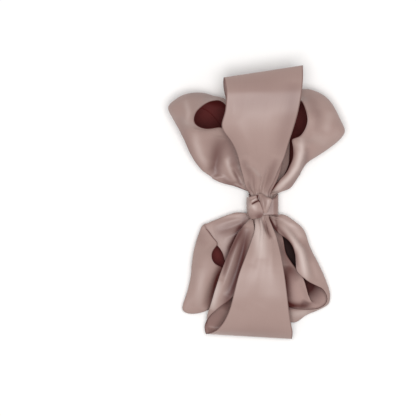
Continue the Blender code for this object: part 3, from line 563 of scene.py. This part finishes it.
def control_points(rows):
    """Returns the four points that each section passes through, as an array of sections by four.

    A fan's points lie at 0, 1/3, 2/3 and 1 of the line between its selvedges, and the middle two are
    lifted by its crown. A ring's foot is out + (low - out) * FOOT_SHARE, lowered by its dip.
    """
    sections = []
    for row in rows:
        if isinstance(row, Fan):
            shares = np.array((0, 1 / 3, 2 / 3, 1))[:, None]
            section = np.array(row.left) * (1 - shares) + np.array(row.right) * shares
            section[1:3, 2] += row.crown
        else:
            rim, out, low = np.array((row.rim, row.out, row.low))
            section = np.array((rim, out, out + (low - out) * FOOT_SHARE - (0, 0, row.dip), low))
        sections.append(section)
    return np.array(sections)


def running_length(points):
    """Returns the distance from the first point along the second last axis of an array of points."""
    steps = np.linalg.norm(np.diff(points, axis=-2), axis=-1)
    return np.concatenate((np.zeros(steps.shape[:-1] + (1,)), np.cumsum(steps, axis=-1)), axis=-1)


def smooth_through(points, lengths, places):
    """Reads monotone cubic curves through the points at the given places along them.

    Between two points a and b, h apart and with slopes p and q, the curve at the share t is
    (2t^3 - 3t^2 + 1) a + (t^3 - 2t^2 + t) h p + (3t^2 - 2t^3) b + (t^3 - t^2) h q. A slope is the
    weighted harmonic mean of the straight slopes beside its point, or 0 where their signs differ.
    """
    gaps = np.diff(lengths)[..., None]
    sides = np.diff(points, axis=-2) / gaps
    before, after = sides[..., :-1, :], sides[..., 1:, :]
    agree = before * after > 0
    total = np.where(agree, gaps[..., 1:, :] * before + gaps[..., :-1, :] * after, 1.0)
    middle = np.where(agree, before * after * (gaps[..., :-1, :] + gaps[..., 1:, :]) / total, 0.0)
    slopes = np.concatenate((sides[..., :1, :], middle, sides[..., -1:, :]), axis=-2)
    span = (places[..., None] >= lengths[..., None, 1:-1]).sum(axis=-1)[..., None]
    a, b = (np.take_along_axis(points, span + k, axis=-2) for k in (0, 1))
    p, q = (np.take_along_axis(slopes, span + k, axis=-2) for k in (0, 1))
    start = np.take_along_axis(lengths[..., None], span, axis=-2)
    h = np.take_along_axis(gaps, span, axis=-2)
    t = (places[..., None] - start) / h
    return (
        (2 * t**3 - 3 * t**2 + 1) * a
        + (t**3 - 2 * t**2 + t) * h * p
        + (3 * t**2 - 2 * t**3) * b
        + (t**3 - t**2) * h * q
    )


def ribbon_surface(rows, step, across):
    """Returns a ribbon's middle surface S(s, w) as a grid of points.

    Four curves carry the sections' control points along s, in even steps of their mean length. Each
    section then runs through its own four points, in even steps of its own length.
    """
    controls = control_points(rows)
    lengths = running_length(controls.swapaxes(0, 1)).mean(axis=0)
    places = np.linspace(0, lengths[-1], int(lengths[-1] / step) + 1)
    four = np.ones((4, 1))
    sections = smooth_through(controls.swapaxes(0, 1), four * lengths, four * places).swapaxes(0, 1)
    widths = running_length(sections)
    return smooth_through(sections, widths, widths[:, -1:] * np.linspace(0, 1, across))


def relaxed(grid, passes):
    """Evens a grid out: in each pass a point moves to a quarter, a half and a quarter of its row."""
    for _ in range(passes):
        grid[1:-1] = 0.25 * grid[:-2] + 0.5 * grid[1:-1] + 0.25 * grid[2:]
        grid[:, 1:-1] = 0.25 * grid[:, :-2] + 0.5 * grid[:, 1:-1] + 0.25 * grid[:, 2:]
    return grid


def outward(grid):
    """Returns unit normals, the cross product of the surface's two directions, at each point.

    TINY keeps a point where the surface has no area from a division by nothing.
    """
    normals = np.cross(np.gradient(grid, axis=0), np.gradient(grid, axis=1))
    return normals / np.maximum(np.linalg.norm(normals, axis=-1, keepdims=True), TINY)


def facing_out(grid):
    """Turns the sections round where the high part of the ribbon's first half would face down."""
    half = grid[: len(grid) // 2]
    if (outward(half)[..., 2] * half[..., 2]).sum() < 0:
        return np.ascontiguousarray(grid[:, ::-1])
    return grid


def eased(share):
    """Returns 3x^2 - 2x^3 of a share held between 0 and 1."""
    held = np.clip(share, 0, 1)
    return held * held * (3 - 2 * held)


def beside_paths(grid, rows):
    """Returns how high a sum of soft ridges stands at each point of the grid.

    Each is height * exp(-(d / half width)^2) * sqrt(4 t (1 - t)), where d is the distance from the
    ridge's path seen from above and t the share of the path. It rises and fades over WINDOW_EASE at the
    ends of its shares of s.
    """
    share = np.linspace(0, 1, len(grid))[:, None]
    total = np.zeros(grid.shape[:2])
    for row in rows:
        path = np.array(row.path)
        steps = np.diff(path, axis=0)
        offset = grid[..., None, :2] - path[:-1]
        t = np.clip((offset * steps).sum(axis=-1) / (steps * steps).sum(axis=-1), 0, 1)
        distance = np.linalg.norm(offset - t[..., None] * steps, axis=-1)
        nearest = distance.argmin(axis=-1)[..., None]
        progress = (nearest + np.take_along_axis(t, nearest, axis=-1))[..., 0] / len(steps)
        near = np.take_along_axis(distance, nearest, axis=-1)[..., 0]
        window = np.ones_like(share)
        if row.first > 0:
            window = window * eased((share - row.first) / WINDOW_EASE)
        if row.last < 1:
            window = window * eased((row.last - share) / WINDOW_EASE)
        taper = np.sqrt(np.clip(4 * progress * (1 - progress), 0, 1))
        total += row.height * np.exp(-((near / row.half_width) ** 2)) * taper * window
    return total


def creased(grid, creases):
    """Moves the grid along its normals by the sum of its creases."""
    return grid + outward(grid) * beside_paths(grid, creases)[..., None]


def gathered(grid, height):
    """Lifts the grid in waves across it that are tallest beside the binding and die away from it.

    A wave is share * sin(2 pi count w + start), times sin(pi w) so that the selvedges stay still. It
    rises over GATHER_RISE from the binding's edge, and beyond that falls as exp(-distance / GATHER_REACH).
    """
    w = np.linspace(0, 1, grid.shape[1])
    reach = np.hypot(grid[..., 0] - BAND_CENTRE_X, grid[..., 1] - BAND_CENTRE_Y) - 0.5 * BAND_WIDTH
    rise = eased(reach / GATHER_RISE)
    fade = np.exp(-np.clip(reach - GATHER_RISE, 0, None) / GATHER_REACH)
    waves = sum(share * np.sin(2 * np.pi * count * w + start) for count, share, start in GATHERS)
    grid[..., 2] += height * rise * fade * waves * np.sin(np.pi * w)
    return grid


def held_in_binding(grid):
    """Draws each section together in X where it passes through the binding and just beyond it.

    X is scaled about the binding's middle, so that it stays within NECK_HALF of it in the binding. The
    scale eases back to 1 over FLARE_LENGTH beyond the binding's edge.
    """
    half = np.abs(grid[..., 0] - BAND_CENTRE_X).max(axis=1, keepdims=True)
    reach = np.abs(grid[..., 1] - BAND_CENTRE_Y).max(axis=1, keepdims=True)
    share = 1 - eased((reach - 0.5 * BAND_WIDTH - SEAM_GAP) / FLARE_LENGTH)
    scale = 1 + (np.minimum(NECK_HALF / half, 1) - 1) * share
    grid[..., 0] = BAND_CENTRE_X + (grid[..., 0] - BAND_CENTRE_X) * scale
    return grid


def linear(colour):
    """Turns an sRGB hex colour into Blender's linear red, green, blue and alpha."""
    parts = np.array([int(colour[i:i + 2], 16) for i in (1, 3, 5)]) / 255
    return (*np.where(parts <= 0.04045, parts / 12.92, ((parts + 0.055) / 1.055) ** 2.4), 1.0)


def add_node(tree, kind, inputs=None, **settings):
    """Adds a node, sets its properties, and sets or links its inputs by name or number."""
    made = tree.nodes.new(kind)
    for name, value in settings.items():
        setattr(made, name, value)
    for name, value in (inputs or {}).items():
        if isinstance(value, bpy.types.NodeSocket):
            tree.links.new(value, made.inputs[name])
        else:
            made.inputs[name].default_value = value
    return made


def woven_satin(name, light, dark, selvedge, roughness, sheen, gloss, deep=()):
    """Woven polyester satin: long floating threads along the ribbon and a tight flat selvedge.

    Its face is smooth along the threads, so its gloss is soft and stretched across them. The threads
    lie 0.3 mm apart. They are drawn THREAD_SPACING apart, the finest that a close view can show. Blender's
    wave texture turns by WAVE_TURN radians a unit, so its scale is 2 pi / (WAVE_TURN * spacing).
    Its colour goes towards a deep rose painted shade by the piece's fold_shade, where little light
    reaches into a fold, and towards a pale painted highlight where fold_shade is negative, on the back
    of a fold. The cloth has a deep place's painted shadow colour below its first height and nearer than
    its first distance, and its own colour above or beyond the second one, because little light reaches
    the bottom of the loop.
    """
    material = bpy.data.materials.new(name)
    material.use_nodes = True
    tree = material.node_tree
    tree.nodes.clear()
    lie = add_node(tree, "ShaderNodeUVMap", uv_map="ribbon").outputs["UV"]
    place = add_node(tree, "ShaderNodeTexCoord").outputs["Object"]
    w = add_node(tree, "ShaderNodeSeparateXYZ", {0: lie}).outputs["X"]

    clouds = add_node(
        tree, "ShaderNodeTexNoise", {"Vector": place, "Scale": 1 / (CLOUD_SIZE * MM), "Detail": 2.0}
    ).outputs[0]
    wide, long = (1 / (size * MM) for size in STREAK_SIZE)
    streaks = add_node(
        tree, "ShaderNodeMapping", {"Vector": lie, "Scale": (wide, long, 1.0)}
    ).outputs[0]
    threads = add_node(
        tree, "ShaderNodeTexNoise", {"Vector": streaks, "Scale": 1.0, "Detail": 3.0}
    ).outputs[0]
    tone = add_node(tree, "ShaderNodeMath", {0: clouds, 1: CLOUD_SHARE}, operation="MULTIPLY").outputs[0]
    tone = add_node(
        tree, "ShaderNodeMath", {0: threads, 1: STREAK_SHARE, 2: tone}, operation="MULTIPLY_ADD"
    ).outputs[0]
    cloth = add_node(
        tree, "ShaderNodeMix", {"Factor": tone, 6: linear(light), 7: linear(dark)}, data_type="RGBA"
    ).outputs[2]
    # The selvedge: its denser woven edge, darkened partly as painted shade along the edge
    middle = 0.5 * RIBBON_WIDTH * MM
    aside = add_node(tree, "ShaderNodeMath", {0: w, 1: middle}, operation="SUBTRACT").outputs[0]
    aside = add_node(tree, "ShaderNodeMath", {0: aside}, operation="ABSOLUTE").outputs[0]
    start, end = (middle - width * MM for width in SELVEDGE_WIDTHS)
    edge = add_node(tree, "ShaderNodeMapRange", {"Value": aside, 1: start, 2: end}).outputs[0]
    cloth = add_node(
        tree, "ShaderNodeMix", {"Factor": edge, 6: cloth, 7: linear(selvedge)}, data_type="RGBA"
    ).outputs[2]

    # Painted shade in the folds and a painted highlight on their backs, by fold_shade
    fold = add_node(tree, "ShaderNodeAttribute", attribute_name="fold_shade").outputs["Fac"]
    for colour, full in PAINTED_SHADE_AND_HIGHLIGHT:
        factor = add_node(tree, "ShaderNodeMapRange", {"Value": fold, 1: 0.0, 2: full}).outputs[0]
        cloth = add_node(
            tree, "ShaderNodeMix", {"Factor": factor, 6: cloth, 7: linear(colour)}, data_type="RGBA"
        ).outputs[2]
    # Painted shadow at each deep place near the bottom of a loop
    for spot in deep:
        z = add_node(tree, "ShaderNodeSeparateXYZ", {0: place}).outputs["Z"]
        height = add_node(
            tree, "ShaderNodeMapRange", {"Value": z, 1: spot.low * MM, 2: spot.high * MM}
        ).outputs[0]
        centre = tuple(value * MM for value in spot.place)
        away = add_node(
            tree, "ShaderNodeVectorMath", {0: place, 1: centre}, operation="DISTANCE"
        ).outputs["Value"]
        beyond = add_node(
            tree, "ShaderNodeMapRange", {"Value": away, 1: spot.near * MM, 2: spot.far * MM}
        ).outputs[0]
        lit = add_node(tree, "ShaderNodeMath", {0: height, 1: beyond}, operation="MAXIMUM").outputs[0]
        cloth = add_node(
            tree, "ShaderNodeMix", {"Factor": lit, 6: linear(spot.colour), 7: cloth}, data_type="RGBA"
        ).outputs[2]

    bands = 2 * np.pi / (WAVE_TURN * THREAD_SPACING * MM)
    warp = add_node(
        tree, "ShaderNodeTexWave", {"Vector": lie, "Scale": bands, "Distortion": 0.4},
        wave_type="BANDS", bands_direction="X",
    ).outputs["Fac"]
    relief = add_node(
        tree, "ShaderNodeMath", {0: warp, 1: WARP_SHARE, 2: threads}, operation="MULTIPLY_ADD"
    ).outputs[0]
    bump = add_node(
        tree, "ShaderNodeBump", {"Height": relief, "Strength": 0.12, "Distance": 0.0001}
    ).outputs[0]
    below, above = ROUGHNESS_SPREAD
    grain = add_node(
        tree, "ShaderNodeMapRange", {"Value": threads, 3: roughness - below, 4: roughness + above}
    ).outputs[0]
    along = add_node(tree, "ShaderNodeTangent", direction_type="UV_MAP", uv_map="ribbon").outputs[0]

    shader = add_node(tree, "ShaderNodeBsdfPrincipled", {
        "Base Color": cloth,
        "Roughness": grain,
        "Normal": bump,
        "Tangent": along,
        "Specular IOR Level": gloss,
        "Anisotropic": 0.45,
        "Sheen Weight": sheen,
        "Sheen Roughness": 0.35,
        "Sheen Tint": linear("#e8d8d2"),
    })
    add_node(tree, "ShaderNodeOutputMaterial", {"Surface": shader.outputs[0]})
    return material


def ribbon_piece(name, grid, materials, thickness, shades, closed=False):
    """Makes one piece of ribbon from its grid: a thin shell with its place in its mesh.

    Its UV map is the lie of the cloth in metres: w times the ribbon's width, and the length along s. A
    closed piece joins its last section to its first.
    """
    stations, across = grid.shape[:2]
    number = np.arange(stations * across).reshape(stations, across)
    if closed:
        number = np.concatenate((number, number[:1]))
    quads = np.stack((number[:-1, :-1], number[1:, :-1], number[1:, 1:], number[:-1, 1:]), axis=-1)
    mesh = bpy.data.meshes.new(name)
    mesh.from_pydata((grid.reshape(-1, 3) * MM).tolist(), [], quads.reshape(-1, 4).tolist())
    rows = len(number)
    w = np.broadcast_to(np.linspace(0, RIBBON_WIDTH * MM, across), (rows, across))
    middle = grid[:, across // 2]
    if closed:
        middle = np.concatenate((middle, middle[:1]))
    s = np.broadcast_to((running_length(middle) * MM)[:, None], (rows, across))
    lie = np.stack((w, s), axis=-1)
    corners = np.stack((lie[:-1, :-1], lie[1:, :-1], lie[1:, 1:], lie[:-1, 1:]), axis=-2)
    mesh.uv_layers.new(name="ribbon").data.foreach_set("uv", corners.ravel())
    shade = beside_paths(grid, shades)
    mesh.attributes.new("fold_shade", "FLOAT", "POINT").data.foreach_set("value", shade.ravel())
    mesh.shade_smooth()
    for material in materials:
        mesh.materials.append(material)
    piece = bpy.data.objects.new(name, mesh)
    scene.collection.objects.link(piece)
    wall = piece.modifiers.new("satin", "SOLIDIFY")
    wall.thickness = thickness * MM
    wall.offset = 0
    wall.material_offset = 1
    wall.material_offset_rim = 2
    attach(piece, "root")
    return piece


def loop_grid(name):
    """Returns a loop's surface, gathered at the knot, creased and held above the table."""
    grid = facing_out(relaxed(ribbon_surface(LOOPS[name], ALONG_STEP, ACROSS_POINTS), RELAX_PASSES))
    grid = creased(gathered(grid, GATHER_HEIGHTS[name.rsplit("_", 1)[1]]), CREASES[name])
    grid = held_in_binding(grid)
    grid[..., 2] = np.maximum(grid[..., 2], LOWEST)
    return grid


def knot_grid(rows, points, creases):
    """Returns the surface of one of the knot's two pieces, with its creases."""
    grid = relaxed(ribbon_surface(rows, KNOT_STEP, points), KNOT_RELAX_PASSES)
    return creased(facing_out(grid), creases)


def binding_grid():
    """Returns the binding: a rounded rectangle round the neck, carried along Y.

    The corners are quarter circles of the same radius about the rectangle's inner corners. Its upper
    edge is cut back by BAND_HIDDEN on top of the neck.
    """
    corners = np.array(((1, 1), (-1, 1), (-1, -1), (1, -1)))[:, None]
    turns = np.radians(np.linspace(0, 90, BAND_CORNER_POINTS) + 90 * np.arange(4)[:, None])
    half = 0.5 * np.array((BAND_OUTER_X - BAND_WALL, BAND_OUTER_Z - BAND_WALL)) - BAND_CORNER
    ring = corners * half + BAND_CORNER * np.stack((np.cos(turns), np.sin(turns)), axis=-1)
    ring = ring.reshape(-1, 2)
    ring = np.concatenate((ring, ring[:1]))
    length = running_length(ring)
    places = np.linspace(0, length[-1], BAND_STATIONS + 1)[:-1]
    ring = np.stack([np.interp(places, length, ring[:, axis]) for axis in (0, 1)], axis=-1)
    share = np.linspace(0, 1, BAND_POINTS)
    x, hidden = np.array(BAND_HIDDEN).T
    cut = np.interp(BAND_CENTRE_X + ring[:, :1], x, hidden) * (ring[:, 1:] > 0)
    grid = np.empty((len(ring), len(share), 3))
    grid[..., 0] = BAND_CENTRE_X + ring[:, :1]
    grid[..., 1] = BAND_CENTRE_Y - 0.5 * BAND_WIDTH + share * (BAND_WIDTH - cut)
    grid[..., 2] = 0.5 * BAND_OUTER_Z + ring[:, 1:]
    return facing_out(grid)


# Light and camera
scene.view_settings.view_transform = "Standard"
world = bpy.data.worlds.new("soft_daylight")
scene.world = world
world.use_nodes = True
sky = world.node_tree.nodes["Background"].inputs
sky["Color"].default_value = linear("#ffffff")
sky["Strength"].default_value = SKY_STRENGTH

lamp = bpy.data.lights.new("softbox", "AREA")
lamp.size = SOFTBOX_SIZE
lamp.energy = SOFTBOX_POWER
softbox = bpy.data.objects.new("softbox", lamp)
softbox.location = SOFTBOX_PLACE
softbox.rotation_euler = (-softbox.location).to_track_quat("-Z", "Y").to_euler()
scene.collection.objects.link(softbox)

eye = bpy.data.cameras.new("camera")
eye.sensor_width = SENSOR_WIDTH
eye.lens = SENSOR_WIDTH * (CAMERA_HEIGHT - BOW_MIDDLE_Z) / PICTURE_WIDTH
eye.clip_end = CAMERA_REACH
camera = bpy.data.objects.new("camera", eye)
camera.location = (PICTURE_CENTRE[0] * MM, PICTURE_CENTRE[1] * MM, CAMERA_HEIGHT * MM)
scene.collection.objects.link(camera)
scene.camera = camera

# The table: matt white paint, which gives no gloss and a soft grey shadow
paint = bpy.data.materials.new("matt_white_paint")
paint.use_nodes = True
matt = paint.node_tree.nodes["Principled BSDF"].inputs
matt["Base Color"].default_value = linear("#f7f6f5")
matt["Roughness"].default_value = 0.9
matt["Specular IOR Level"].default_value = 0.1
board = bpy.data.meshes.new("table_top")
corners = [(x * TABLE_HALF, y * TABLE_HALF, TABLE_Z) for x, y in ((-1, -1), (1, -1), (1, 1), (-1, 1))]
board.from_pydata(corners, [], [(0, 1, 2, 3)])
board.materials.append(paint)
table_top = bpy.data.objects.new("table_top", board)
scene.collection.objects.link(table_top)

# The satin's glossy face, its duller reverse, darker partly as painted shade, a copy in painted shade
# for the cloth inside a standing loop, which the light hardly reaches, a paler copy in painted light for
# the cloth that is turned up inside the bottom right loop, with painted shadow at its bottom, and the
# dark cut of its edge, darkened partly as painted shade along the edges
face = woven_satin(
    "woven_satin_face", "#a88f88", "#9c827b", "#8c716b", roughness=0.42, sheen=0.10, gloss=0.45
)
# The reverse: duller satin, a little darker partly as painted shade
reverse = woven_satin(
    "woven_satin_reverse", "#9c7f79", "#8f726c", "#80635d", roughness=0.46, sheen=0.06, gloss=0.40
)
# Painted shade: a dark red copy of the cloth for the inside of a standing loop
painted_shade_lining = woven_satin(
    "woven_satin_painted_shade_inside_a_loop", "#652422", "#561c1b", "#561c1b", roughness=0.60, sheen=0.0, gloss=0.12
)
# Painted light: a paler copy of the cloth, with painted shadow at the bottom of the loop
turned = woven_satin(
    "woven_satin_inside_the_bottom_right_loop", "#bfa49d", "#ab8f89", "#80635d",
    roughness=0.55, sheen=0.0, gloss=0.08, deep=BOTTOM_RIGHT_PAINTED_SHADOWS,
)
# The cut edge, dark partly as painted shade along the edges
edge = woven_satin(
    "woven_satin_edge", "#6b443f", "#5c3733", "#5c3733", roughness=0.60, sheen=0.0, gloss=0.30
)

linings = {"loop_top_centre": reverse, "loop_bottom_centre": reverse, "loop_bottom_right": turned}
for name in LOOPS:
    cloth = (face, linings.get(name, painted_shade_lining), edge)
    loop = ribbon_piece(f"satin_{name}", loop_grid(name), cloth, SATIN_THICKNESS, SHADES[name])
    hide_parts(name)

satin = (face, reverse, edge)
binding = ribbon_piece("satin_binding", binding_grid(), satin, BAND_WALL, BINDING_SHADES, closed=True)
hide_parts("binding")

lobe_grid = knot_grid(KNOT_LOBE, LOBE_POINTS, LOBE_CREASES)
lobe = ribbon_piece("satin_knot_lobe", lobe_grid, satin, SATIN_THICKNESS, LOBE_SHADES)
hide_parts("knot_lobe")

crossing_grid = knot_grid(KNOT_CROSSING, CROSSING_POINTS, CROSSING_CREASES)
crossing = ribbon_piece("satin_knot_crossing", crossing_grid, satin, SATIN_THICKNESS, CROSSING_SHADES)
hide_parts("knot_crossing")
